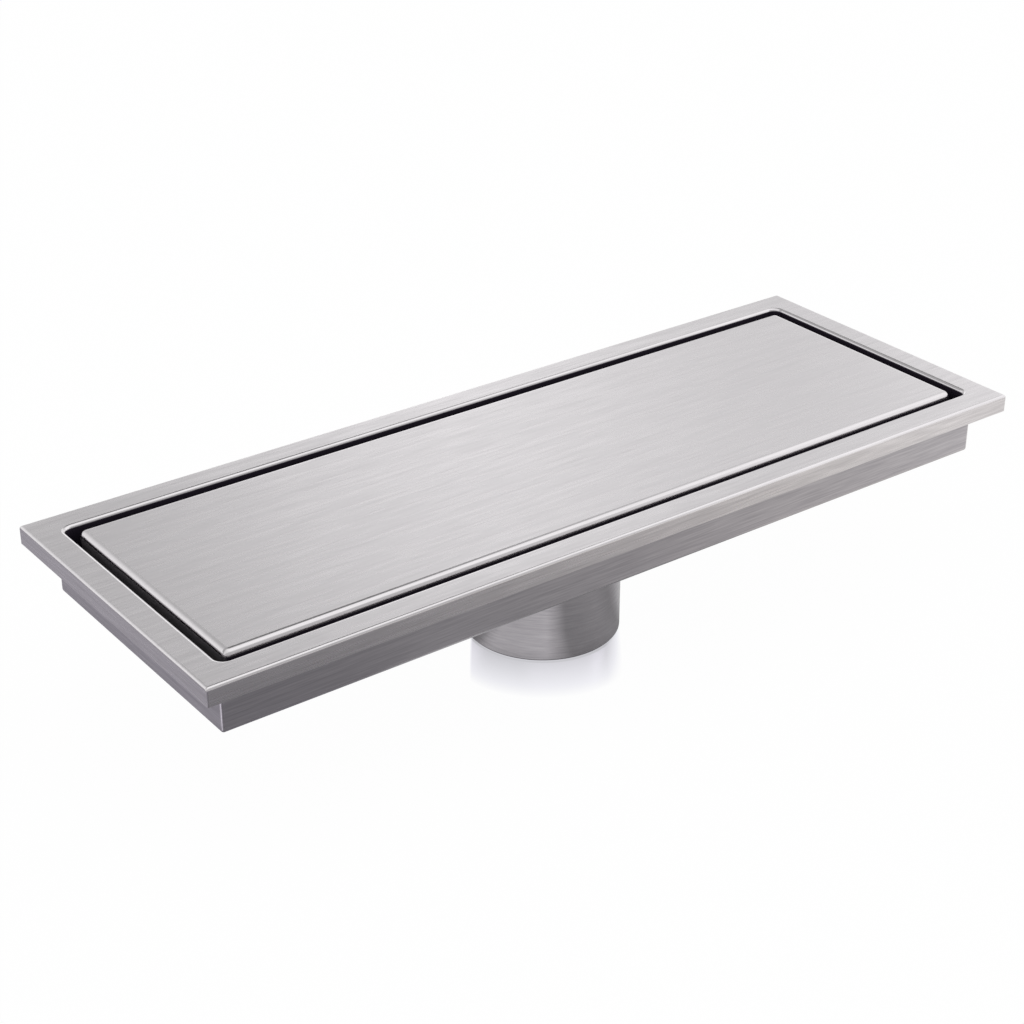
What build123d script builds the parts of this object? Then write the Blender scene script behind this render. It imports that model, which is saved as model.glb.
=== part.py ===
from build123d import *
import os

# Linear shower drain: a folded stainless pan with a floor-level flange, a welded
# outlet pipe, a lift-out cover on four brackets, and a hair strainer in the outlet.
# Millimetres. The origin is the centre of the outlet pipe's lower end.
# X runs along the drain, Y across it and Z up.

# Overall sizes
flange_length = 300.0
flange_width = 110.0
overall_height = 59.0

# Pan: one sheet folded into trough, flange and lip, with welded and ground corners
pan_sheet = 1.5
lip_height = 5.8
flange_overhang = 7.7  # outside of the lip to outside of the trough
trough_depth = 21.0  # flange top to the underside of the trough
lip_edge_radius = 1.0
lip_corner_radius = 0.5
opening_edge_radius = 1.2
opening_corner_radius = 3.0
trough_edge_radius = 1.0
trough_corner_radius = 0.8

# Trough floor: a level border, then a shallow fall to a flat round the outlet
floor_border = 4.0
floor_fall = 1.5
outlet_flat_margin = 1.5  # strainer rim to the edge of the flat

# Outlet pipe
pipe_diameter = 50.0
pipe_wall = 1.5
pipe_deburr = 0.3

# Cover: a folded tray, flat side up
cover_gap = 3.35  # slot between the cover and the trough wall
cover_sheet = 1.2
cover_height = 11.0
cover_bend_inside = 0.8
cover_corner_inside = 0.9

# Brackets that carry the cover
bracket_sheet = 1.5
bracket_bend_inside = 0.5
bracket_width = 16.0
bracket_inset = 45.0  # end wall of the trough to the bracket's middle
bracket_floor_gap = 2.5  # bracket's leg to the trough floor, for water to pass
bracket_grip = 3.0  # shelf beyond the inside of the cover's skirt

# Hair strainer
strainer_sheet = 0.8
strainer_rim_width = 6.5  # rim lying on the flat outside the outlet's bore
strainer_clearance = 0.8  # cup to bore
strainer_depth = 18.0
strainer_taper = 4.5  # how much the cup's radius shrinks towards its base
slot_count = 12
slot_width = 3.0
slot_margin = 4.0  # solid wall above and below the slots
hole_diameter = 4.0
hole_ring_step = 9.0
hole_margin = 4.0  # middle of the outermost holes to the cup's wall

# Heights
flange_top = overall_height
flange_under = flange_top - pan_sheet
lip_bottom = flange_top - lip_height
trough_under = flange_top - trough_depth
floor_level = trough_under + pan_sheet
pipe_top = trough_under - floor_fall
strainer_seat = floor_level - floor_fall
cover_bottom = flange_top - cover_height

# Plan sizes
trough_length = flange_length - 2 * flange_overhang
trough_width = flange_width - 2 * flange_overhang
opening_length = trough_length - 2 * pan_sheet
opening_width = trough_width - 2 * pan_sheet
cover_length = opening_length - 2 * cover_gap
cover_width = opening_width - 2 * cover_gap
pipe_bore = pipe_diameter - 2 * pipe_wall
strainer_rim_diameter = pipe_bore + 2 * strainer_rim_width
outlet_flat = strainer_rim_diameter + 2 * outlet_flat_margin


def slab(length, width, low, high, corner=0.0):
    """A block between two heights, with its upright corners rounded."""
    outline = RectangleRounded(length, width, corner) if corner > 0 else Rectangle(length, width)
    return Pos(0, 0, low) * extrude(outline, high - low)


def top_edges(block):
    return block.edges().group_by(Axis.Z)[-1]


def bottom_edges(block):
    return block.edges().group_by(Axis.Z)[0]


def floor_funnel(level):
    """The floor's fall, from its creases at a level to the flat round the outlet."""
    creases = Rectangle(opening_length - 2 * floor_border, opening_width - 2 * floor_border)
    flat = Rectangle(outlet_flat, outlet_flat)
    return loft([Pos(0, 0, level) * creases, Pos(0, 0, level - floor_fall) * flat], ruled=True)


def make_drain_body():
    """Trough, flange and lip, folded from one sheet."""
    flange = slab(flange_length, flange_width, lip_bottom, flange_top, lip_corner_radius)
    flange = fillet(top_edges(flange), lip_edge_radius)
    lip_length = flange_length - 2 * pan_sheet
    lip_width = flange_width - 2 * pan_sheet
    flange -= slab(lip_length, lip_width, lip_bottom, flange_under)

    trough = slab(trough_length, trough_width, trough_under, flange_top, trough_corner_radius)
    trough = fillet(bottom_edges(trough), trough_edge_radius)
    body = flange + trough + floor_funnel(trough_under)

    hollow = slab(opening_length, opening_width, floor_level, flange_top, opening_corner_radius)
    body -= hollow + floor_funnel(floor_level)
    mouth = body.faces().sort_by(Axis.Z)[-1].inner_wires()[0]
    body = fillet(mouth.edges(), opening_edge_radius)

    outlet = Pos(0, 0, pipe_top) * extrude(Circle(pipe_bore / 2), pan_sheet)
    return body - outlet


def make_outlet_pipe():
    """A tube whose upper end butts against the trough floor round the outlet."""
    pipe = extrude(Circle(pipe_diameter / 2) - Circle(pipe_bore / 2), pipe_top)
    return chamfer(bottom_edges(pipe), pipe_deburr)


def make_cover():
    """A shallow tray with its flat side up and its skirt turned down."""
    corner = cover_corner_inside + cover_sheet
    tray = slab(cover_length, cover_width, cover_bottom, flange_top, corner)
    tray = fillet(top_edges(tray), cover_bend_inside + cover_sheet)

    inside_length = cover_length - 2 * cover_sheet
    inside_width = cover_width - 2 * cover_sheet
    inside_top = flange_top - cover_sheet
    inside = slab(inside_length, inside_width, cover_bottom, inside_top, cover_corner_inside)
    inside = fillet(top_edges(inside), cover_bend_inside)
    return tray - inside


def make_bracket(along, side):
    """A folded angle: its leg lies on the trough wall, its shelf carries the cover."""
    reach = cover_gap + cover_sheet + bracket_grip
    drop = cover_bottom - floor_level - bracket_floor_gap
    leg = Pos(bracket_sheet / 2, -drop / 2) * Rectangle(bracket_sheet, drop)
    shelf = Pos(reach / 2, -bracket_sheet / 2) * Rectangle(reach, bracket_sheet)
    angle = leg + shelf
    outside_corner = angle.vertices().sort_by_distance((0, 0))[0]
    angle = fillet(outside_corner, bracket_bend_inside + bracket_sheet)
    inside_corner = angle.vertices().sort_by_distance((bracket_sheet, -bracket_sheet))[0]
    angle = fillet(inside_corner, bracket_bend_inside)

    # The sketch's X runs from the wall towards the middle of the trough, its Y runs up
    wall = Plane(
        origin=(along, side * opening_width / 2, cover_bottom),
        x_dir=(0, -side, 0),
        z_dir=(-side, 0, 0),
    )
    return extrude(wall * angle, bracket_width / 2, both=True)


def make_hair_strainer():
    """A pressed cup with a flat rim, slots round its wall and holes in its base."""
    cup_radius = pipe_bore / 2 - strainer_clearance
    base_radius = cup_radius - strainer_taper
    underside = Polyline(
        (strainer_rim_diameter / 2, strainer_seat),
        (cup_radius, strainer_seat),
        (base_radius, strainer_seat - strainer_depth),
        (0, strainer_seat - strainer_depth),
    )
    outline = offset(underside, strainer_sheet, side=Side.RIGHT, kind=Kind.INTERSECTION)
    section = make_face(outline)
    cup = revolve(Plane.XZ * section, Axis.Z)

    slot_length = strainer_depth - 2 * slot_margin
    slot = extrude(Plane.YZ * SlotOverall(slot_length, slot_width, rotation=90), cup_radius)
    slot = Pos(0, 0, strainer_seat - strainer_depth / 2) * slot
    for turn in range(slot_count):
        cup -= Rot(0, 0, turn * 360 / slot_count) * slot

    hole = extrude(Circle(hole_diameter / 2), strainer_sheet)
    hole = Pos(0, 0, strainer_seat - strainer_depth) * hole
    cup -= hole
    hole_rings = int((base_radius - strainer_sheet - hole_margin) / hole_ring_step)
    for ring in range(1, hole_rings + 1):
        for place in PolarLocations(ring * hole_ring_step, 6 * ring):
            cup -= place * hole
    return cup


nodes = {
    "drain_body": make_drain_body(),
    "outlet_pipe": make_outlet_pipe(),
    "cover": make_cover(),
    "hair_strainer": make_hair_strainer(),
}
for side_name, side in (("front", -1), ("back", 1)):
    for end_name, end in (("left", -1), ("right", 1)):
        along = end * (opening_length / 2 - bracket_inset)
        nodes[f"bracket_{side_name}_{end_name}"] = make_bracket(along, side)

os.makedirs("parts", exist_ok=True)
for name, shape in nodes.items():
    export_step(shape, f"parts/{name}.step")
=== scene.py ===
# %% [markdown]
# # A linear shower drain in brushed stainless steel
# The real thing is a shallow trough folded from one sheet, with a flange that ends level with
# the floor tiles, a short outlet tube welded underneath, and a plain cover that lifts out.
# The solid parts arrive ready made, in metres, in the frame that every later cell uses:
# X runs along the drain, Y across it and Z up, with the tube's lower end at zero.

# %% Load the solid parts
import math
import bmesh
import bpy
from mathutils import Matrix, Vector


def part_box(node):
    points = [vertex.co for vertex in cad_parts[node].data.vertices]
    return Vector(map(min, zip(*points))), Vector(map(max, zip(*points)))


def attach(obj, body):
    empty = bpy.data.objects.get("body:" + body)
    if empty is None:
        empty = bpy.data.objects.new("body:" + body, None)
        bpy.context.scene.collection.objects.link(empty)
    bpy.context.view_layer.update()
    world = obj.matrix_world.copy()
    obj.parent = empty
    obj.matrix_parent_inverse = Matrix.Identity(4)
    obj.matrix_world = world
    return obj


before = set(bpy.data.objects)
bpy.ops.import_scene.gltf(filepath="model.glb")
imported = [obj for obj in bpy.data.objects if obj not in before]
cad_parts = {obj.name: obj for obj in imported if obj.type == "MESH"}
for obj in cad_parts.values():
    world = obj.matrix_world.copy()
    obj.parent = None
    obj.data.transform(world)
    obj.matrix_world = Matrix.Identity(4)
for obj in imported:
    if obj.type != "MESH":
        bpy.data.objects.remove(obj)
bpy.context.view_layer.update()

scene = bpy.context.scene
scene.view_settings.view_transform = "Standard"
print("solid parts:", ", ".join(sorted(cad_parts)))

# %% [markdown]
# ## Camera
# A long lens keeps the drain's edges nearly parallel, as in a catalogue picture. A camera can be
# placed by three turning angles. Here it is placed by the direction it looks from and the point
# it looks at, which is easier to reason about.

# %% Camera
VIEW_AZIMUTH = math.radians(-36.724)
VIEW_ELEVATION = math.radians(27.781)
VIEW_DISTANCE = 0.655577
VIEW_TARGET = Vector((-0.01253, -0.00073, 0.04367))
LENS_MM = 74.355
SENSOR_MM = 36.0
NEAREST_SEEN = 0.01

back = Vector((
    math.sin(VIEW_AZIMUTH) * math.cos(VIEW_ELEVATION),
    -math.cos(VIEW_AZIMUTH) * math.cos(VIEW_ELEVATION),
    math.sin(VIEW_ELEVATION),
))
camera = bpy.data.objects.new("camera", bpy.data.cameras.new("camera"))
camera.data.sensor_width = SENSOR_MM
camera.data.lens = LENS_MM
camera.data.clip_start = NEAREST_SEEN
camera.location = VIEW_TARGET + back * VIEW_DISTANCE
camera.rotation_euler = back.to_track_quat("Z", "Y").to_euler()
scene.collection.objects.link(camera)
scene.camera = camera
print("camera at", [round(c, 4) for c in camera.location])

# %% [markdown]
# ## Helpers for materials
# Colours are written as sRGB hex values, the way a paint program shows them, and Blender's
# shaders want linear light, so one function converts them. A material can be wired up by hand in
# the node editor. Here one function adds a node with its settings and its links, which keeps a
# node tree readable as text. The stops of a colour ramp count as settings too.

# %% Helpers for materials
def linear(hex_colour):
    """Turn an sRGB hex colour such as #B4B4B4 into linear RGBA."""
    channels = [int(hex_colour[i:i + 2], 16) / 255 for i in (1, 3, 5)]
    bent = [c / 12.92 if c <= 0.04045 else ((c + 0.055) / 1.055) ** 2.4 for c in channels]
    return bent + [1.0]


def add(tree, kind, settings, inputs):
    """Add a node. Settings are its properties, inputs are values or other nodes' outputs."""
    node = tree.nodes.new("ShaderNode" + kind)
    for name, value in settings.items():
        if name == "stops":
            stops = node.color_ramp.elements
            while len(stops) < len(value):
                stops.new(0.5)
            for stop, (position, colour) in zip(stops, value):
                stop.position = position
                stop.color = colour
        else:
            setattr(node, name, value)
    for socket, value in inputs.items():
        if isinstance(value, bpy.types.NodeSocket):
            tree.links.new(value, node.inputs[socket])
        else:
            node.inputs[socket].default_value = value
    return node


def new_material(name):
    """An empty node material and its output node."""
    material = bpy.data.materials.new(name)
    material.use_nodes = True
    material.node_tree.nodes.clear()
    return material, add(material.node_tree, "OutputMaterial", {}, {})


print("steel grey in linear light:", [round(c, 3) for c in linear("#C8C6C8")])

# %% [markdown]
# ## Painted shade inside the trough
# The inside of the trough is given a dark grey and a rougher surface as painted shade, which is why
# the slot round the cover looks nearly black. The painted shade reaches higher up the folds of the
# mouth at the back and right than at the front and left. The inside could be a material of its own,
# but the mesh has no edge where the shade begins, so the material finds the place from a point's
# position and the way its surface faces.

# %% Inside of the trough
body_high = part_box("drain_body")[1]
cover_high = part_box("cover")[1]
MOUTH_BEYOND_COVER = 0.00375  # the slot's width and a little of the fold
RUN_OUT_BACK = 0.00057  # where the painted shade begins, below the flange's top
RUN_OUT_FRONT = 0.0021
RUN_OUT_FADE = 0.0005
SIDE_BLEND = 0.2  # how far a face looks forwards or backwards before it takes one side's value
UNDERSIDE_FACING = -0.3


def sheet_dullness(tree, at, facing):
    """Painted shade: 0 on the ground sheet, 1 inside the trough, fading in over the folds of the mouth.
    """
    backwards = add(tree, "Math", {"operation": "ADD"}, {0: facing["X"], 1: facing["Y"]})
    run_out = add(tree, "MapRange", {}, {
        "Value": backwards.outputs[0], "From Min": -SIDE_BLEND, "From Max": SIDE_BLEND,
        "To Min": body_high.z - RUN_OUT_BACK, "To Max": body_high.z - RUN_OUT_FRONT})
    below = add(tree, "Math", {"operation": "SUBTRACT"}, {0: run_out.outputs[0], 1: at["Z"]})
    dull = add(tree, "MapRange", {"interpolation_type": "SMOOTHSTEP"}, {
        "Value": below.outputs[0], "From Min": 0.0, "From Max": RUN_OUT_FADE})
    limits = [add(tree, "Math", {"operation": "GREATER_THAN"}, {0: facing["Z"], 1: UNDERSIDE_FACING})]
    for axis, cover_edge in (("X", cover_high.x), ("Y", cover_high.y)):
        across = add(tree, "Math", {"operation": "ABSOLUTE"}, {0: at[axis]})
        limits.append(add(tree, "Math", {"operation": "LESS_THAN"}, {
            0: across.outputs[0], 1: cover_edge + MOUTH_BEYOND_COVER}))
    for limit in limits:
        dull = add(tree, "Math", {"operation": "MULTIPLY"}, {0: dull.outputs[0], 1: limit.outputs[0]})
    return dull.outputs[0]


print("dull inside the mouth, up to", round(1000 * (cover_high.x + MOUTH_BEYOND_COVER), 2), "mm along X")

# %% [markdown]
# ## Painted shade below the lip
# The outside of the trough below the lip is darkened with a grey as painted shade: a little more in
# some lines than in others, less on the ends, and none on the upright corners. One even grey would
# look flat, so the share of shade follows the lines of the brushing.

# %% Outside below the lip
BURIED_BELOW = 0.0059  # under the flange's top: the lip's height and a hair more
SKIN_SHARE = 0.42
SKIN_IN_LINES = 0.07
SKIN_LINES_LOW = 0.38  # most of the lines' noise lies between these two
SKIN_LINES_HIGH = 0.62
SKIN_AT_ENDS = 0.8
UPRIGHT_TILT = 0.2
ENDWAYS_BEGINS = 0.6
ENDWAYS_FULL = 0.9


def at_ends(tree, facing, level):
    """1 on faces that look across the drain, and a given level on faces that look along it."""
    endways = add(tree, "Math", {"operation": "ABSOLUTE"}, {0: facing["X"]})
    return add(tree, "MapRange", {}, {
        "Value": endways.outputs[0], "From Min": ENDWAYS_BEGINS, "From Max": ENDWAYS_FULL,
        "To Min": 1.0, "To Max": level})


def buried_skin(tree, at, facing, folded, lines):
    """Share of painted shade on the outside below the lip."""
    in_lines = add(tree, "MapRange", {}, {
        "Value": lines, "From Min": SKIN_LINES_LOW, "From Max": SKIN_LINES_HIGH,
        "To Min": SKIN_SHARE * (1 + SKIN_IN_LINES), "To Max": SKIN_SHARE * (1 - SKIN_IN_LINES)})
    tilt = add(tree, "Math", {"operation": "ABSOLUTE"}, {0: facing["Z"]})
    upright = add(tree, "Math", {"operation": "LESS_THAN"}, {0: tilt.outputs[0], 1: UPRIGHT_TILT})
    corner = add(tree, "Math", {"operation": "MULTIPLY"}, {0: upright.outputs[0], 1: folded})
    not_corner = add(tree, "Math", {"operation": "SUBTRACT"}, {0: 1.0, 1: corner.outputs[0]})
    share = add(tree, "Math", {"operation": "LESS_THAN"}, {0: at["Z"], 1: body_high.z - BURIED_BELOW})
    for part in (in_lines, at_ends(tree, facing, SKIN_AT_ENDS), not_corner):
        share = add(tree, "Math", {"operation": "MULTIPLY"}, {0: share.outputs[0], 1: part.outputs[0]})
    return share.outputs[0]


print("mill skin below", round(1000 * (body_high.z - BURIED_BELOW), 2), "mm")

# %% [markdown]
# ## Skirt of the cover and end of the tube
# ## Painted shade on the cover's skirt and the tube's end
# The cover's skirt hangs in the slot and is darkened as painted shade. It starts just above the lower
# end of the fold, and its short ends are a little brighter. The tube is sawn to length; its lower
# edge is painted dark and its last few millimetres are darkened a little, both as painted shade, and
# its bore is darkened by half. Both are found by height, as edges in the mesh would be too sharp for
# shades that fade into each other.

# %% Skirt of the cover and end of the tube
SKIRT_BEGINS = 0.00165  # below the cover's top
SKIRT_FULL = 0.00195
SKIRT_AT_ENDS = 0.72
tube_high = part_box("outlet_pipe")[1]
tube_radius = tube_high.x
SAWN_EDGE_TOP = 0.0005
SAWN_EDGE_FULL = 0.0003
SAWN_FACE_DULLNESS = 0.4
FLAT_END_FACING = -0.95
SLOPING_EDGE_FACING = -0.75
TUBE_END_LENGTH = 0.0042
TUBE_END_DULLNESS = 0.2
BORE_DULLNESS = 0.5
TUBE_SKIN_DEPTH = 0.001  # a point this far inside the tube's radius is in the bore


def cover_dullness(tree, at, facing):
    """Painted shade: 0 on the cover's top and folds, 1 on the skirt in the slot, a little less at its
    ends.
    """
    skirt = add(tree, "MapRange", {"interpolation_type": "SMOOTHSTEP"}, {
        "Value": at["Z"], "From Min": cover_high.z - SKIRT_BEGINS, "From Max": cover_high.z - SKIRT_FULL})
    strength = at_ends(tree, facing, SKIRT_AT_ENDS)
    dull = add(tree, "Math", {"operation": "MULTIPLY"}, {0: skirt.outputs[0], 1: strength.outputs[0]})
    return dull.outputs[0]


def tube_dullness(tree, at, facing):
    """0 on the outside of the tube, 1 on its sawn edge and part of it near the end as painted shade, part
    in the bore.
    """
    edge = add(tree, "MapRange", {}, {
        "Value": at["Z"], "From Min": SAWN_EDGE_TOP, "From Max": SAWN_EDGE_FULL})
    sloping = add(tree, "MapRange", {}, {
        "Value": facing["Z"], "From Min": FLAT_END_FACING, "From Max": SLOPING_EDGE_FACING,
        "To Min": SAWN_FACE_DULLNESS})
    edge = add(tree, "Math", {"operation": "MULTIPLY"}, {0: edge.outputs[0], 1: sloping.outputs[0]})
    near_end = add(tree, "MapRange", {}, {
        "Value": at["Z"], "From Min": TUBE_END_LENGTH, "From Max": 0.0, "To Max": TUBE_END_DULLNESS})
    across = add(tree, "CombineXYZ", {}, {"X": at["X"], "Y": at["Y"]})
    radius = add(tree, "VectorMath", {"operation": "LENGTH"}, {0: across.outputs[0]})
    bore = add(tree, "Math", {"operation": "LESS_THAN"}, {
        0: radius.outputs["Value"], 1: tube_radius - TUBE_SKIN_DEPTH})
    bore = add(tree, "Math", {"operation": "MULTIPLY"}, {0: bore.outputs[0], 1: BORE_DULLNESS})
    dull = edge
    for part in (near_end, bore):
        dull = add(tree, "Math", {"operation": "MAXIMUM"}, {0: dull.outputs[0], 1: part.outputs[0]})
    return dull.outputs[0]


print("tube radius", round(1000 * tube_radius, 2), "mm")

# %% [markdown]
# ## Lines of the brushing
# The sheet is ground with an abrasive belt, which leaves fine parallel scratches. Real ones are
# about 0.05 mm wide, too fine for a picture of this size, so they are drawn 0.8 mm wide on the
# flats and half that on the walls and the tube. A wave texture would repeat itself, so the lines
# are noise that is stretched along the brushing, with a second noise for broader bands.

# %% Lines of the brushing
LINE_WIDTH_MM = 0.80
LINE_LENGTH_MM = 13.0
BAND_WIDTH_MM = 1.8
BAND_LENGTH_MM = 45.0
BAND_SHARE = 0.35
WALL_FINENESS = 2.0
TUBE_SHORTENING = 0.42
MM_IN_METRE = 1000.0


def brush_lines(tree, place, end_wall=None):
    """Lines along X, or along Y where end_wall is 1. With no end_wall they run round a tube."""
    layers = []
    for width_mm, length_mm in ((LINE_WIDTH_MM, LINE_LENGTH_MM), (BAND_WIDTH_MM, BAND_LENGTH_MM)):
        across = MM_IN_METRE / width_mm
        along = MM_IN_METRE / length_mm
        upwards = across * WALL_FINENESS
        if end_wall is None:
            along = along / TUBE_SHORTENING
            stretched = add(tree, "Mapping", {}, {
                "Vector": place, "Scale": (along, along, upwards)}).outputs[0]
        else:
            along_x = add(tree, "Mapping", {}, {"Vector": place, "Scale": (along, across, upwards)})
            along_y = add(tree, "Mapping", {}, {"Vector": place, "Scale": (across, along, upwards)})
            stretched = add(tree, "Mix", {"data_type": "VECTOR"}, {
                "Factor": end_wall, 4: along_x.outputs[0], 5: along_y.outputs[0]}).outputs[1]
        layers.append(add(tree, "TexNoise", {}, {"Vector": stretched, "Scale": 1.0, "Detail": 1.0}))
    return add(tree, "Mix", {"data_type": "FLOAT"}, {
        "Factor": BAND_SHARE, 2: layers[0].outputs["Fac"], 3: layers[1].outputs["Fac"]}).outputs[0]


print("lines", LINE_WIDTH_MM, "mm wide and", LINE_LENGTH_MM, "mm long")

# %% [markdown]
# ## Faces of the folded sheet
# The belt runs along X, and along Y on the end walls. The folds are pressed smooth afterwards, so
# they mirror more sharply than the flats, and on the upright walls the lines stand out more. Each
# kind of face could be marked by hand, but its normal already tells it apart: a flat or a wall
# looks straight along one axis, and a fold looks between two.

# %% Faces of the folded sheet
END_WALL_FACING = 0.75
FOLD_BEGINS = 0.9995
FOLD_FULL = 0.990
WALL_TILT = 0.5
WALL_LINES = 2.5


def sheet_faces(tree, normal):
    """Four outputs: end walls, folds, strength of the lines, and a tangent across the brushing."""
    squarely = add(tree, "VectorMath", {"operation": "ABSOLUTE"}, {0: normal})
    squarely = add(tree, "SeparateXYZ", {}, {"Vector": squarely.outputs[0]}).outputs
    end_wall = add(tree, "Math", {"operation": "GREATER_THAN"}, {0: squarely["X"], 1: END_WALL_FACING})
    flatness = add(tree, "Math", {"operation": "MAXIMUM"}, {0: squarely["X"], 1: squarely["Y"]})
    flatness = add(tree, "Math", {"operation": "MAXIMUM"}, {0: flatness.outputs[0], 1: squarely["Z"]})
    folded = add(tree, "MapRange", {}, {
        "Value": flatness.outputs[0], "From Min": FOLD_BEGINS, "From Max": FOLD_FULL})
    strength = add(tree, "MapRange", {}, {
        "Value": squarely["Z"], "From Min": WALL_TILT, "From Max": 0.0,
        "To Min": 1.0, "To Max": WALL_LINES})
    grooves = add(tree, "Mix", {"data_type": "VECTOR"}, {
        "Factor": end_wall.outputs[0], 4: (1.0, 0.0, 0.0), 5: (0.0, 1.0, 0.0)})
    tangent = add(tree, "VectorMath", {"operation": "CROSS_PRODUCT"}, {0: normal, 1: grooves.outputs[1]})
    return end_wall.outputs[0], folded.outputs[0], strength.outputs[0], tangent.outputs[0]


print("lines on the walls are", WALL_LINES, "times as strong")

# %% [markdown]
# ## Brushed stainless steel
# Along a scratch the metal mirrors well, and across it the reflection is smeared. A plain rough
# metal would smear it both ways, so the shader is a metal with anisotropy whose tangent lies
# across the scratches. The lines change the colour and the roughness a little, and the greys of
# painted shade are mixed in over them.

# %% Brushed stainless steel
ANISOTROPY = 0.8
LINES_LOW = 0.3
LINES_HIGH = 0.7
LINES_MIDDLE = 0.5
LINE_ROUGHNESS = 0.02
LINE_DEPTH = 0.00002
LINE_BUMP = 0.08
FOLD_ROUGHNESS = 0.13
# Greys of painted shade: one below the lip, and a darker one in the slot, on the cover's skirt and at the
# tube's end
SKIN_GREY = "#7E7B86"
SKIN_ROUGHNESS = 0.46
DULL_GREY = "#352F3B"
DULL_ROUGHNESS = 0.55


def brushed_steel(name, pale, dark, roughness, dullness, skin=None, is_tube=False):
    """Stainless steel brushed along a folded sheet, or round a tube on the Z axis."""
    material, output = new_material(name)
    tree = material.node_tree
    place = add(tree, "TexCoord", {}, {}).outputs["Object"]
    normal = add(tree, "NewGeometry", {}, {}).outputs["Normal"]
    at = add(tree, "SeparateXYZ", {}, {"Vector": place}).outputs
    facing = add(tree, "SeparateXYZ", {}, {"Vector": normal}).outputs
    if is_tube:
        tangent = add(tree, "CombineXYZ", {}, {"Z": 1.0}).outputs[0]
        lines = brush_lines(tree, place)
    else:
        end_wall, folded, strength, tangent = sheet_faces(tree, normal)
        lines = brush_lines(tree, place, end_wall)

    paleness = add(tree, "MapRange", {}, {
        "Value": lines, "From Min": LINES_LOW, "From Max": LINES_HIGH}).outputs[0]
    rough = add(tree, "MapRange", {}, {
        "Value": lines, "From Min": LINES_LOW, "From Max": LINES_HIGH,
        "To Min": roughness + LINE_ROUGHNESS, "To Max": roughness - LINE_ROUGHNESS}).outputs[0]
    if not is_tube:
        centred = add(tree, "Math", {"operation": "SUBTRACT"}, {0: paleness, 1: LINES_MIDDLE})
        paleness = add(tree, "Math", {"operation": "MULTIPLY_ADD"}, {
            0: centred.outputs[0], 1: strength, 2: LINES_MIDDLE}).outputs[0]
        rough = add(tree, "Mix", {"data_type": "FLOAT"}, {
            "Factor": folded, 2: rough, 3: FOLD_ROUGHNESS}).outputs[0]
    colour = add(tree, "Mix", {"data_type": "RGBA", "clamp_factor": False}, {
        "Factor": paleness, 6: linear(dark), 7: linear(pale)}).outputs[2]

    # Painted shade: the greys above are mixed in over the steel where the masks say
    layers = [(dullness(tree, at, facing), DULL_GREY, DULL_ROUGHNESS)]
    if skin:
        layers.insert(0, (skin(tree, at, facing, folded, lines), SKIN_GREY, SKIN_ROUGHNESS))
    for share, layer_grey, layer_roughness in layers:
        colour = add(tree, "Mix", {"data_type": "RGBA"}, {
            "Factor": share, 6: colour, 7: linear(layer_grey)}).outputs[2]
        rough = add(tree, "Mix", {"data_type": "FLOAT"}, {
            "Factor": share, 2: rough, 3: layer_roughness}).outputs[0]
    bump = add(tree, "Bump", {}, {"Strength": LINE_BUMP, "Distance": LINE_DEPTH, "Height": lines})
    steel = add(tree, "BsdfPrincipled", {}, {
        "Base Color": colour, "Metallic": 1.0, "Roughness": rough,
        "Anisotropic": ANISOTROPY, "Normal": bump.outputs[0], "Tangent": tangent})
    tree.links.new(steel.outputs[0], output.inputs["Surface"])
    return material


# Belt-ground sheet: soft streaks along the drain, bright lines on its folds, painted shade below the lip
# and inside the trough
sheet_steel = brushed_steel(
    "stainless_sheet_brushed", "#DBD8DA", "#CFCCCE", 0.28, sheet_dullness, skin=buried_skin)
# Cover ground with a finer belt: the same streaks, but fainter, and painted shade on the skirt
cover_steel = brushed_steel("stainless_cover_brushed", "#D8D5D7", "#D1CED0", 0.28, cover_dullness)
# Tube turned against the belt: sharper reflections that stand upright, lines round it, and painted shade
# at its end
tube_steel = brushed_steel(
    "stainless_tube_brushed", "#CDC9CD", "#BBB7BC", 0.19, tube_dullness, is_tube=True)
print("made", sheet_steel.name, cover_steel.name, tube_steel.name)

# %% [markdown]
# ## Satin stainless steel
# The strainer is pressed and tumbled, the brackets keep the mill finish and the weld is pickled
# in acid. None of them is brushed, so they show a fine even grain and no lines. The real grain is
# far below a tenth of a millimetre, so it is drawn about 1 mm wide to show at all.

# %% Satin stainless steel
GRAIN_LOW = 0.35
GRAIN_HIGH = 0.65
GRAIN_DETAIL = 3.0
GRAIN_CRISPNESS = 0.55
GRAIN_ROUGHNESS = 0.08
GRAIN_DEPTH = 0.00003
GRAIN_BUMP = 0.15


def satin_steel(name, pale, dark, grain_mm, roughness):
    """Stainless steel with an even grain of a given size."""
    material, output = new_material(name)
    tree = material.node_tree
    place = add(tree, "TexCoord", {}, {}).outputs["Object"]
    grain = add(tree, "TexNoise", {}, {
        "Vector": place, "Scale": MM_IN_METRE / grain_mm, "Detail": GRAIN_DETAIL,
        "Roughness": GRAIN_CRISPNESS}).outputs["Fac"]
    paleness = add(tree, "MapRange", {}, {
        "Value": grain, "From Min": GRAIN_LOW, "From Max": GRAIN_HIGH})
    colour = add(tree, "Mix", {"data_type": "RGBA"}, {
        "Factor": paleness.outputs[0], 6: linear(dark), 7: linear(pale)})
    rough = add(tree, "MapRange", {}, {
        "Value": grain, "To Min": roughness + GRAIN_ROUGHNESS, "To Max": roughness - GRAIN_ROUGHNESS})
    bump = add(tree, "Bump", {}, {"Strength": GRAIN_BUMP, "Distance": GRAIN_DEPTH, "Height": grain})
    steel = add(tree, "BsdfPrincipled", {}, {
        "Base Color": colour.outputs[2], "Metallic": 1.0, "Roughness": rough.outputs[0],
        "Normal": bump.outputs[0]})
    tree.links.new(steel.outputs[0], output.inputs["Surface"])
    return material


# Tumbled with stones: pale, with an even silky sheen
strainer_steel = satin_steel("stainless_strainer_tumbled", "#CFCDCD", "#BDBBBC", 0.8, 0.36)
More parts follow.
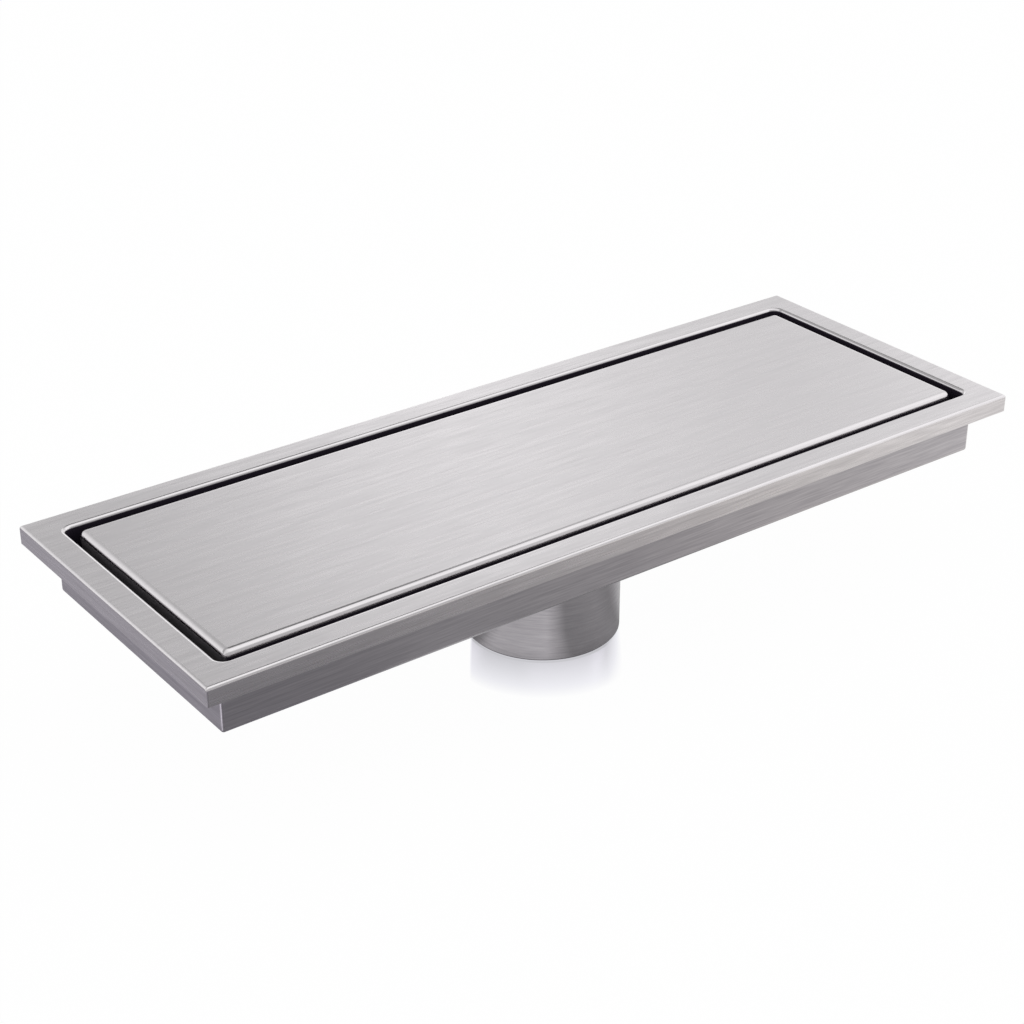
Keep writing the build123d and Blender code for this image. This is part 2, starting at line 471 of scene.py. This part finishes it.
# As it comes from the rolling mill: greyer and a little cloudy
bracket_steel = satin_steel("stainless_bracket_mill_finish", "#B4B2B4", "#A19FA2", 1.5, 0.42)
# Pickled in acid: matt and mottled, a little warm from the heat of welding
weld_steel = satin_steel("stainless_weld_pickled", "#C4BFB8", "#9D9894", 0.9, 0.40)
print("made", strainer_steel.name, bracket_steel.name, weld_steel.name)

# %% [markdown]
# ## Finishes on the solid parts
# Each solid part keeps its own mesh and only gets a finish. A slot is emptied first, so that the
# part has one finish all over and no empty slot is left behind.

# %% Finishes on the solid parts
def finish(node_name, material):
    """Give one solid part its finish."""
    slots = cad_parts[node_name].data.materials
    slots.clear()
    slots.append(material)


finish("drain_body", sheet_steel)
finish("outlet_pipe", tube_steel)
finish("cover", cover_steel)
finish("hair_strainer", strainer_steel)
for end in ("left", "right"):
    for side in ("front", "back"):
        finish(f"bracket_{side}_{end}", bracket_steel)
print("finished", len(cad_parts), "solid parts")

# %% [markdown]
# ## Weld round the outlet
# The tube is joined to the trough by one weld that runs right round it underneath. A welder
# moves in small steps, so the bead is a chain of overlapping ripples. It could be a torus with
# ripples in its bump, but then its outline would stay smooth. Here a few points of its section are
# spun round the tube's axis, which closes the ring exactly, and then each point is pushed
# outwards by its place within its ripple.

# %% Weld round the outlet
WELD_LEG = 0.0024
WELD_SINK = 0.0002
WELD_FACE = ((0.30, 0.86), (0.62, 0.58), (0.88, 0.28))  # outwards and down, in legs
WELD_RIPPLES = 96
WELD_STEPS = 4
WELD_RIPPLE_HEIGHT = 0.0003
SAME_PLACE = 1e-6


def new_piece(name, shape, material):
    """Turn a bmesh into a piece that rides on the drain, with a finish."""
    mesh = bpy.data.meshes.new(name)
    shape.to_mesh(mesh)
    shape.free()
    mesh.polygons.foreach_set("use_smooth", [True] * len(mesh.polygons))
    mesh.materials.append(material)
    piece = bpy.data.objects.new(name, mesh)
    scene.collection.objects.link(piece)
    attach(piece, "root")
    print(name, "has", len(mesh.polygons), "faces")


weld_section = [(-WELD_SINK, -WELD_LEG)]
weld_section += [(out * WELD_LEG, -down * WELD_LEG) for out, down in WELD_FACE]
weld_section += [(WELD_LEG, WELD_SINK), (-WELD_SINK, WELD_SINK)]
shape = bmesh.new()
corners = [shape.verts.new((tube_radius + r, 0, tube_high.z + z)) for r, z in weld_section]
ring = [shape.edges.new((a, b)) for a, b in zip(corners, corners[1:] + corners[:1])]
bmesh.ops.spin(
    shape, geom=corners + ring, cent=(0, 0, 0), axis=(0, 0, 1), angle=2 * math.pi,
    steps=WELD_RIPPLES * WELD_STEPS, use_merge=True)
bmesh.ops.remove_doubles(shape, verts=shape.verts, dist=SAME_PLACE)
for point in shape.verts:
    outwards = Vector((point.co.x, point.co.y, 0)).normalized()
    reach = point.co.xy.length - tube_radius
    if reach > 0:
        turn = math.atan2(point.co.y, point.co.x) / (2 * math.pi) * WELD_RIPPLES
        crest = 1 - (2 * (turn % 1) - 1) ** 2
        push = WELD_RIPPLE_HEIGHT * (crest - 0.5) * math.sin(math.pi * reach / WELD_LEG)
        point.co += (outwards - Vector((0, 0, 1))) * push
bmesh.ops.recalc_face_normals(shape, faces=shape.faces)
new_piece("weld_outlet", shape, weld_steel)

# %% [markdown]
# ## Floor
# The drain stands on a sweep of white paper. A single large square is enough, a hair below the
# tube's end so that the two never share a plane.

# %% Floor
FLOOR_SIZE = 8.0
FLOOR_DROP = 0.0002

mesh = bpy.data.meshes.new("floor")
shape = bmesh.new()
bmesh.ops.create_grid(shape, x_segments=1, y_segments=1, size=FLOOR_SIZE / 2)
bmesh.ops.translate(shape, verts=shape.verts, vec=(0, 0, -FLOOR_DROP))
shape.to_mesh(mesh)
shape.free()
floor = bpy.data.objects.new("floor", mesh)
scene.collection.objects.link(floor)
print("floor", FLOOR_SIZE, "m square")

# %% [markdown]
# ## Glow of the floor along the drain
# A paper sweep under a product is never evenly lit: it is bright near the lamps and dim where the
# drain stands in the way. In polished metal those brighter and dimmer parts are what gives each
# wall its tone. Real lamps could do this, but a drawn glow can be set wall by wall: one ramp along
# X, and two soft pools that dim or brighten it.

# %% Glow of the floor along the drain
GLOW_ALONG_X = (
    # place along X (metres), level, tint
    (-0.40, 0.41, "#FBF7FF"),
    (-0.15, 0.405, "#F6F1FF"),
    (-0.11, 0.41, "#F7F2FE"),
    (-0.03, 0.55, "#FBF7FC"),
    (0.02, 0.655, "#FDF9FA"),
    (0.06, 0.70, "#FFFAF9"),
    (0.11, 0.74, "#FFFBF7"),
    (0.165, 0.79, "#FFFCF8"),
    (0.22, 0.99, "#FFFDFA"),
    (0.50, 0.99, "#FFFDFB"),
)
GLOW_REACH = 0.5
GLOW_POOLS = (
    # name, middle x, middle y, half length, half width (metres), turn (degrees), times more or less
    ("dim_front", -0.09, -0.13, 0.28, 0.14, 0, -0.75),
    ("lit_corner", -0.206, -0.072, 0.050, 0.021, -62, 3.4),
)

floor_paper, output = new_material("white_paper_sweep")
tree = floor_paper.node_tree
spot = add(tree, "TexCoord", {}, {}).outputs["Object"]
plan = add(tree, "SeparateXYZ", {}, {"Vector": spot}).outputs
along = add(tree, "MapRange", {}, {"Value": plan["X"], "From Min": -GLOW_REACH, "From Max": GLOW_REACH})
glow_stops = [
    ((x + GLOW_REACH) / (2 * GLOW_REACH), [level * c for c in linear(tint)[:3]] + [1.0])
    for x, level, tint in GLOW_ALONG_X]
slope = add(tree, "ValToRGB", {"stops": glow_stops}, {0: along.outputs[0]})
glow_level = 1.0
for name, x, y, half_length, half_width, turn, change in GLOW_POOLS:
    inside = add(tree, "Mapping", {"vector_type": "TEXTURE", "label": name}, {
        "Vector": spot, "Location": (x, y, 0), "Rotation": (0, 0, math.radians(turn)),
        "Scale": (half_length, half_width, 1)})
    distance = add(tree, "VectorMath", {"operation": "LENGTH"}, {0: inside.outputs[0]})
    pool = add(tree, "MapRange", {"interpolation_type": "SMOOTHSTEP"}, {
        "Value": distance.outputs["Value"], "From Min": 1.0, "From Max": 0.0,
        "To Min": 1.0, "To Max": 1.0 + change})
    glow_level = add(tree, "Math", {"operation": "MULTIPLY"}, {
        0: glow_level, 1: pool.outputs[0]}).outputs[0]
drain_glow = add(tree, "Emission", {}, {"Color": slope.outputs[0], "Strength": glow_level})
print("glow pools:", ", ".join(pool[0] for pool in GLOW_POOLS))

# %% [markdown]
# ## Glow of the floor round the tube
# The tube is upright and round, so each upright strip of it mirrors the floor in another
# direction. Its tones are easiest to set by that direction, as a ramp round the tube's axis, which
# takes the place of the other glow close to the tube.

# %% Glow of the floor round the tube
GLOW_ROUND_TUBE = (
    # direction from the tube (degrees from +X), level
    (0, 0.66), (10, 0.77), (25, 0.90), (60, 0.90), (97, 0.30), (140, 0.22), (157, 0.24),
    (168, 0.25), (175, 0.37), (180, 0.56), (188, 0.69), (205, 0.68), (237, 0.74), (248, 0.52),
    (258, 0.29), (277, 0.31), (300, 0.35), (322, 0.30), (332, 0.40), (340, 0.52), (350, 0.60),
)
TUBE_GLOW_NEAR = 0.075
TUBE_GLOW_FAR = 0.105

flat_spot = add(tree, "VectorMath", {"operation": "MULTIPLY"}, {0: spot, 1: (1, 1, 0)})
from_axis = add(tree, "VectorMath", {"operation": "LENGTH"}, {0: flat_spot.outputs[0]})
turn = add(tree, "Math", {"operation": "ARCTAN2"}, {0: plan["Y"], 1: plan["X"]})
turn = add(tree, "Math", {"operation": "DIVIDE"}, {0: turn.outputs[0], 1: 2 * math.pi})
turn = add(tree, "Math", {"operation": "FLOORED_MODULO"}, {0: turn.outputs[0], 1: 1.0})
tube_stops = [(direction / 360, [level] * 3 + [1.0]) for direction, level in GLOW_ROUND_TUBE]
rounds = add(tree, "ValToRGB", {"stops": tube_stops}, {0: turn.outputs[0]})
near_tube = add(tree, "MapRange", {"interpolation_type": "SMOOTHSTEP"}, {
    "Value": from_axis.outputs["Value"], "From Min": TUBE_GLOW_FAR, "From Max": TUBE_GLOW_NEAR})
tube_glow = add(tree, "Emission", {}, {"Color": rounds.outputs[0], "Strength": 1.0})
glow = add(tree, "MixShader", {}, {
    0: near_tube.outputs[0], 1: drain_glow.outputs[0], 2: tube_glow.outputs[0]})
print("glow round the tube has", len(tube_stops), "stops")

# %% [markdown]
# ## Gloss at the tube's foot
# One stretch of the paper, at the front of the tube, mirrors the tube's foot, and there the paper's
# white is tinted a little bluish as a painted tint of that reflection. A floor that is glossy all over
# would mirror the whole drain, so the gloss is a patch that lies still on the floor. It is strongest
# at the tube, has gone after about 21 mm, and is as wide as the tube, with a crisp edge on its left
# and a soft one on its right.

# %% Gloss at the tube's foot
GLOSS_TURN = math.radians(-126.7)
GLOSS_SHARE = 0.40
GLOSS_REACH = 0.0211
GLOSS_SQUARING = 0.3  # 0 follows the tube's round front, 1 runs straight across it
GLOSS_OVERLAP = 0.005
GLOSS_RIGHT = (1.0, 0.80)  # in tube radii, from where it is gone to where it is full
GLOSS_LEFT = (-0.915, -0.885)
GLOSS_TINT = "#DAD6E4"
GLOSS_ROUGHNESS = 0.14
COATED_WHITE = "#FAFAFF"
COATED_SPREAD = 8.0
WHITE = "#FFFFFF"

rays = add(tree, "LightPath", {}, {}).outputs
patch = add(tree, "Mapping", {}, {"Vector": spot, "Rotation": (0, 0, -GLOSS_TURN)})
patch = add(tree, "SeparateXYZ", {}, {"Vector": patch.outputs[0]}).outputs
squared = add(tree, "Math", {"operation": "MULTIPLY"}, {0: patch["Y"], 1: patch["Y"]})
squared = add(tree, "Math", {"operation": "SUBTRACT"}, {0: tube_radius ** 2, 1: squared.outputs[0]})
squared = add(tree, "Math", {"operation": "MAXIMUM"}, {0: squared.outputs[0], 1: 0.0})
tube_front = add(tree, "Math", {"operation": "SQRT"}, {0: squared.outputs[0]})
near_end = add(tree, "Math", {"operation": "MULTIPLY_ADD"}, {
    0: tube_front.outputs[0], 1: 1 - GLOSS_SQUARING, 2: GLOSS_SQUARING * tube_radius})
from_tube = add(tree, "Math", {"operation": "SUBTRACT"}, {0: patch["X"], 1: near_end.outputs[0]})
fading = add(tree, "MapRange", {}, {
    "Value": from_tube.outputs[0], "From Min": -GLOSS_OVERLAP, "From Max": GLOSS_REACH,
    "To Min": GLOSS_SHARE * (1 + GLOSS_OVERLAP / GLOSS_REACH), "To Max": 0.0})
shares = [fading, add(tree, "Math", {"operation": "GREATER_THAN"}, {0: patch["X"], 1: 0.0})]
for gone, full in (GLOSS_RIGHT, GLOSS_LEFT):
    shares.append(add(tree, "MapRange", {}, {
        "Value": patch["Y"], "From Min": gone * tube_radius, "From Max": full * tube_radius}))
gloss = rays["Is Camera Ray"]
for share in shares:
    gloss = add(tree, "Math", {"operation": "MULTIPLY"}, {0: gloss, 1: share.outputs[0]}).outputs[0]
mirror = add(tree, "BsdfGlossy", {}, {"Color": linear(GLOSS_TINT), "Roughness": GLOSS_ROUGHNESS})
# Painted reflection tint: the paper's white turns bluish under the gloss
coated = add(tree, "Math", {"operation": "MULTIPLY", "use_clamp": True}, {0: gloss, 1: COATED_SPREAD})
coated = add(tree, "Mix", {"data_type": "RGBA"}, {
    "Factor": coated.outputs[0], 6: linear(WHITE), 7: linear(COATED_WHITE)})
print("gloss reaches", round(1000 * GLOSS_REACH, 1), "mm from the tube")

# %% [markdown]
# ## Paper of the floor
# To the camera the paper should be plain white, without washing out the drain's shadow. So a ray
# from the camera meets mostly white, a ray that has already touched metal or glass meets the
# glow, and all other light meets plain paper. Seen from below, the floor is clear, so that the
# underside can be looked at. Brighter lamps would make the paper white too, but the steel with it.

# %% Paper of the floor
CAMERA_WHITE = 0.98
METAL_GLOW = 0.90
PAPER_WHITE = "#F6F6F8"

paper = add(tree, "BsdfDiffuse", {}, {"Color": linear(PAPER_WHITE)})
white = add(tree, "Emission", {}, {"Color": coated.outputs[2], "Strength": 1.0})
clear = add(tree, "BsdfTransparent", {}, {})
by_metal = add(tree, "Math", {"operation": "MAXIMUM"}, {
    0: rays["Is Glossy Ray"], 1: rays["Is Transmission Ray"]})
by_metal = add(tree, "Math", {"operation": "MULTIPLY"}, {0: by_metal.outputs[0], 1: METAL_GLOW})
by_camera = add(tree, "Math", {"operation": "MULTIPLY"}, {0: rays["Is Camera Ray"], 1: CAMERA_WHITE})
from_below = add(tree, "NewGeometry", {}, {}).outputs["Backfacing"]
# Matt white paper: no streaks of its own, only the drain's soft shadow
seen = paper
for share, surface in (
        (by_metal.outputs[0], glow), (by_camera.outputs[0], white), (gloss, mirror), (from_below, clear)):
    seen = add(tree, "MixShader", {}, {0: share, 1: seen.outputs[0], 2: surface.outputs[0]})
tree.links.new(seen.outputs[0], output.inputs["Surface"])
floor.data.materials.append(floor_paper)
print("made", floor_paper.name)

# %% [markdown]
# ## Light
# Metal shows the room more than it shows lamps, so the studio is drawn in the world and needs no
# lamps: a lit wall behind the drain and a long soft box overhead, with a dim gap between them.
# All run along the drain, so they are measured the same way: how far along X a ray points, and
# how far it has turned from the back horizon (0 degrees) over the top (90) to the front one (180).

# %% Light
ROOM_LEVEL = 0.12
LIGHT_SCALE = 2.0  # a ramp's colours end at 1, so levels are kept halved in it and doubled after it
WALLS = (
    # name, turned from, turned to, softness (degrees), levels at places along X
    ("back_wall", -60, 40, 5, (
        (-0.90, 1.08), (-0.50, 0.98), (-0.20, 0.84), (0.15, 0.58), (0.35, 0.71),
        (0.41, 0.92), (0.46, 1.19), (0.50, 1.28), (0.53, 1.29), (0.63, 0.785),
        (0.66, 0.745), (0.69, 0.90), (0.71, 1.06), (0.90, 1.08))),
    ("lit_gap", 40, 74, 6, (
        (-0.30, 0.40), (0.10, 0.40), (0.28, 0.24), (0.38, 0.09), (0.46, 0.08),
        (0.54, 0.42), (0.60, 0.66), (0.66, 0.80))),
    ("overhead_box", 74, 130, 10, (
        (-0.60, 0.85), (0.20, 1.12), (0.46, 1.15), (0.57, 1.15), (0.66, 1.17))),
    ("front_wall", 130, 200, 10, (
        (-0.60, 0.50), (0.30, 0.50), (0.46, 0.52), (0.57, 0.70), (0.64, 1.06))),
)

world = bpy.data.worlds.new("studio")
scene.world = world
world.use_nodes = True
tree = world.node_tree
tree.nodes.clear()
towards = add(tree, "TexCoord", {}, {}).outputs["Generated"]
towards = add(tree, "SeparateXYZ", {}, {"Vector": towards}).outputs
turned = add(tree, "Math", {"operation": "ARCTAN2"}, {0: towards["Z"], 1: towards["Y"]})
turned = add(tree, "Math", {"operation": "DEGREES"}, {0: turned.outputs[0]}).outputs[0]
along = add(tree, "MapRange", {}, {"Value": towards["X"], "From Min": -1.0, "From Max": 1.0}).outputs[0]
total = ROOM_LEVEL
for name, start, end, softness, levels in WALLS:
    wall_stops = [((x + 1) / 2, [level / LIGHT_SCALE] * 3 + [1.0]) for x, level in levels]
    wall = add(tree, "ValToRGB", {"label": name, "stops": wall_stops}, {0: along})
    near = add(tree, "MapRange", {"interpolation_type": "SMOOTHSTEP"}, {
        "Value": turned, "From Min": start - softness, "From Max": start + softness,
        "To Max": LIGHT_SCALE})
    far = add(tree, "MapRange", {"interpolation_type": "SMOOTHSTEP"}, {
        "Value": turned, "From Min": end + softness, "From Max": end - softness})
    band = add(tree, "Math", {"operation": "MULTIPLY"}, {0: near.outputs[0], 1: far.outputs[0]})
    lit = add(tree, "Math", {"operation": "MULTIPLY"}, {0: wall.outputs[0], 1: band.outputs[0]})
    total = add(tree, "Math", {"operation": "ADD"}, {0: total, 1: lit.outputs[0]}).outputs[0]
rays = add(tree, "LightPath", {}, {}).outputs
studio = add(tree, "Background", {}, {"Color": linear(WHITE), "Strength": total})
backdrop = add(tree, "Background", {}, {"Color": linear(WHITE), "Strength": 1.0})
seen = add(tree, "MixShader", {}, {
    0: rays["Is Camera Ray"], 1: studio.outputs[0], 2: backdrop.outputs[0]})
add(tree, "OutputWorld", {}, {"Surface": seen.outputs[0]})
print("walls:", ", ".join(wall[0] for wall in WALLS))
